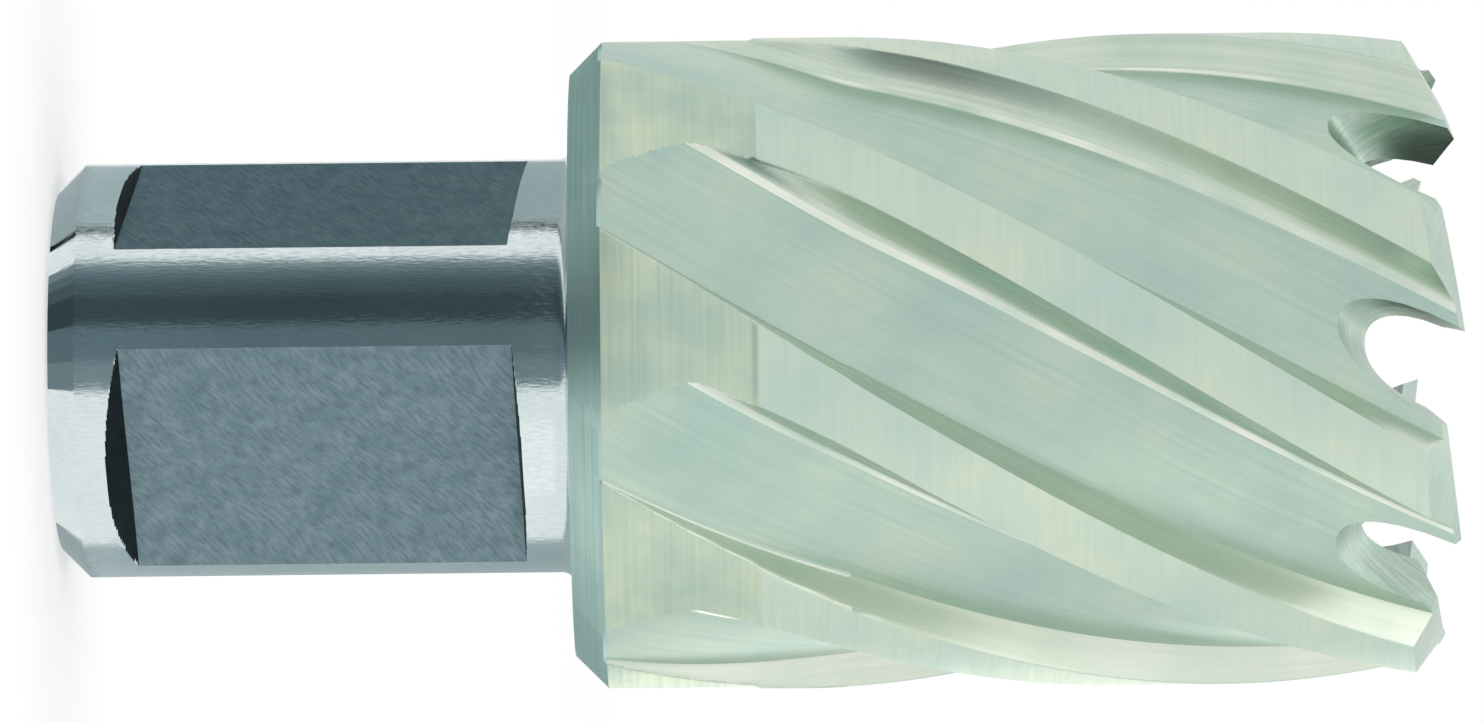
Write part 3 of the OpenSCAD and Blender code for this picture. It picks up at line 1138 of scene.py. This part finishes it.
@dataclass
class Studio:
    """The floor, the light and the camera, which stands where the photograph was taken from."""

    distance_mm: float = 375.0
    field_mm: float = 68.45
    aim_z_mm: float = 31.37
    aim_x_mm: float = -0.12
    roll: float = 0.63
    sensor_mm: float = 36.0
    floor_half_mm: float = 1500.0
    floor_tint: str = "#fbfbfb"
    floor_white_share: float = 0.5
    clip_start_mm: float = 10.0
    camera_turn: float = 270.0
    mirror_r_mm: float = SHANK_R_MM
    mirror_columns: int = 181
    card_radius_mm: float = 24.0
    card_high_mm: float = 24.0
    card_columns: int = 13
    foot_r_mm: float = 8.25
    foot_glow: float = 0.7
    paper_mm: float = 0.01
    cards: tuple[Card, ...] = (
        Card("card_back", 130.0, 199.5, "#c8d4d7"),
        Card("card_line", 199.5, 203.5, "#20282c"),
        Card("card_shade_1", 219.0, 224.0, "#94a6ad"),
        Card("card_shade_2", 224.0, 229.0, "#74878f"),
        Card("card_shade_3", 229.0, 236.0, "#5f7077"),
        Card("card_dark", 236.0, 250.0, "#4a5960"),
        Card("card_middle", 250.0, 266.0, "#788d94"),
        Card("card_light", 266.0, 279.0, "#8fa3a9"),
        Card("card_under", 4.0, 66.0, "#c6d1d4"),
    )
    lamps: tuple[Softbox, ...] = (
        Softbox("softbox_overhead", (0.0, 0.0, 900.0), 0.0, 800.0, 1.2, "#ffffff"),
        Softbox("softbox_low_front", (236.0, -185.0, 45.0), 45.0, 260.0, 0.022, "#fffcef"),
        Softbox("softbox_high_front", (-200.0, -250.0, 540.0), 45.0, 400.0, 0.09, "#fffdf0"),
        Softbox("softbox_low_back", (150.0, 260.0, 34.0), 34.0, 220.0, 0.06, "#fffbe8"),
    )

    @staticmethod
    def plain(name: str, kind: str, values: dict[str | int, Any]) -> bpy.types.Material:
        """Makes a material of one shader.

        Args:
            name: the material's name.
            kind: the shader's type name, without its ShaderNode prefix.
            values: the shader's constants by socket.

        Returns:
            The material.
        """
        material = empty_material(name)
        shader = add_node(material.node_tree, kind, values)
        add_node(material.node_tree, "OutputMaterial", links={"Surface": shader.outputs[0]})
        return material

    def floor_material(self) -> bpy.types.Material:
        """The matt white floor, which metal sees as plain white and the camera sees with a soft shadow.

        Returns:
            The material.
        """
        material = empty_material("floor_matt")
        tree = material.node_tree
        matt = add_node(tree, "BsdfDiffuse", {"Color": linear_rgba(self.floor_tint)})
        white = add_node(tree, "Emission", {"Color": WHITE, "Strength": 1.0})
        ray = add_node(tree, "LightPath")
        seen = add_node(
            tree,
            "Math",
            {1: self.floor_white_share},
            {0: ray.outputs["Is Camera Ray"]},
            operation="MULTIPLY",
        )
        mirrored = add_node(
            tree,
            "Math",
            links={0: ray.outputs["Is Glossy Ray"], 1: ray.outputs["Is Transmission Ray"]},
            operation="MAXIMUM",
        )
        share = add_node(
            tree,
            "Math",
            links={0: seen.outputs["Value"], 1: mirrored.outputs["Value"]},
            operation="MAXIMUM",
        )
        mixed = add_node(
            tree,
            "MixShader",
            links={0: share.outputs["Value"], 1: matt.outputs["BSDF"], 2: white.outputs["Emission"]},
        )
        add_node(tree, "OutputMaterial", links={"Surface": mixed.outputs["Shader"]})
        return material

    def sheet(self, name: str, points: np.ndarray, material: bpy.types.Material) -> bpy.types.Object:
        """A grid of quads that belongs to the studio.

        Args:
            name: its name.
            points: array of rows, columns and 3, in millimetres.
            material: its material.

        Returns:
            The object.
        """
        rows, columns = points.shape[:2]
        index = np.arange(rows * columns).reshape(rows, columns)
        corners = [index[:-1, :-1], index[:-1, 1:], index[1:, 1:], index[1:, :-1]]
        quads = np.stack(corners, -1).reshape(-1, 4)
        mesh = bpy.data.meshes.new(name)
        mesh.from_pydata((points.reshape(-1, 3) * MM).tolist(), [], quads.tolist())
        mesh.materials.append(material)
        sheet = bpy.data.objects.new(name, mesh)
        bpy.context.scene.collection.objects.link(sheet)
        return sheet

    def build(self) -> None:
        """Sets up the floor, the cards, the light and the camera."""
        half = self.floor_half_mm
        x, y = np.meshgrid([-half, half], [-half, half])
        self.sheet("floor", np.stack([x, y, np.zeros_like(x)], -1), self.floor_material())
        for card in self.cards:
            turns = np.linspace(card.start, card.end, self.card_columns)
            low = about_axis(self.card_radius_mm, turns, self.paper_mm)
            high = about_axis(self.card_radius_mm, turns, self.card_high_mm)
            shank_foot = about_axis(self.foot_r_mm, self.seen_at(turns), self.paper_mm)
            tint = linear_rgba(card.tint)
            matt = self.plain(card.name + "_matt", "BsdfDiffuse", {"Color": tint})
            self.card(card.name, np.stack([low, high]), matt)
            # paper on the floor, as bright to a reflection as the card that stands behind it
            glow = {"Color": tint, "Strength": self.foot_glow}
            paper = self.plain(card.name + "_paper", "Emission", glow)
            self.card(card.name + "_foot", np.stack([shank_foot, low]), paper)
        self.light()
        self.camera()

    def seen_at(self, turns: np.ndarray) -> np.ndarray:
        """Where on the shank the camera sees the reflections of a card's points.

        A ray that meets the shank at some angle from the camera leaves at twice that angle. It passes the
        axis at the sine of the angle times the shank's radius, and that gives where it meets the card.

        Args:
            turns: angles of the card's points about the axis, in degrees.

        Returns:
            The angles on the shank, in degrees.
        """
        on_shank = np.radians(np.linspace(-90, 90, self.mirror_columns))
        on_card = 2 * on_shank - np.arcsin(np.sin(on_shank) * self.mirror_r_mm / self.card_radius_mm)
        away = (turns - self.camera_turn + 180) % 360 - 180
        return self.camera_turn + np.degrees(np.interp(np.radians(away), on_card, on_shank))

    def card(self, name: str, points: np.ndarray, material: bpy.types.Material) -> None:
        """A sheet that shows only in reflections.

        Args:
            name: its name.
            points: array of rows, columns and 3, in millimetres.
            material: its material.
        """
        card = self.sheet(name, points, material)
        card.visible_camera = False
        card.visible_shadow = False
        card.visible_diffuse = False

    def light(self) -> None:
        """White surroundings, as in a light tent, and the softboxes in it."""
        world = bpy.data.worlds.new("tent")
        bpy.context.scene.world = world
        world.use_nodes = True
        tree = world.node_tree
        tree.nodes.clear()
        tent = add_node(tree, "Background", {"Color": WHITE, "Strength": 1.0})
        add_node(tree, "OutputWorld", links={"Surface": tent.outputs["Background"]})
        for lamp in self.lamps:
            data = bpy.data.lights.new(lamp.name, "AREA")
            data.shape = "DISK"
            data.size = lamp.width_mm * MM
            data.energy = lamp.watts
            data.color = linear_rgba(lamp.tint)[:3]
            softbox = bpy.data.objects.new(lamp.name, data)
            place = Vector(lamp.place_mm) * MM
            aim = Vector((0.0, 0.0, lamp.aim_z_mm * MM))
            softbox.location = place
            softbox.rotation_euler = (aim - place).to_track_quat("-Z", "Y").to_euler()
            bpy.context.scene.collection.objects.link(softbox)

    def camera(self) -> None:
        """Places the camera: the photograph's right is +Z and its top is -X, with a slight roll."""
        data = bpy.data.cameras.new("camera")
        data.sensor_fit = "HORIZONTAL"
        data.sensor_width = self.sensor_mm
        data.lens = self.sensor_mm * self.distance_mm / self.field_mm
        data.clip_start = self.clip_start_mm * MM
        data.dof.use_dof = False
        roll = math.radians(self.roll)
        right = Vector((math.sin(roll), 0.0, math.cos(roll)))
        up = Vector((-math.cos(roll), 0.0, math.sin(roll)))
        back = right.cross(up)
        place = Vector((self.aim_x_mm, -self.distance_mm, self.aim_z_mm)) * MM
        camera = bpy.data.objects.new("camera", data)
        camera.matrix_world = Matrix.Translation(place) @ Matrix((right, up, back)).transposed().to_4x4()
        bpy.context.scene.collection.objects.link(camera)
        bpy.context.scene.camera = camera


def main() -> None:
    """Builds the cutter over its CAD model, dresses it and sets up the studio."""
    logging.basicConfig(level=logging.INFO, format="%(name)s: %(message)s")
    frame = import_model()
    LOG.info("the frame has the nodes %s", sorted(frame["nodes"]))
    cutter = Cutter()
    piece = cutter.build()
    cutter.dress(piece)
    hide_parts(NODE)
    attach(piece, BODY)
    LOG.info("%s rides on %s and stands for %s", piece.name, BODY, NODE)
    Studio().build()
    bpy.context.scene.view_settings.view_transform = "Standard"


if __name__ == "__main__":
    main()
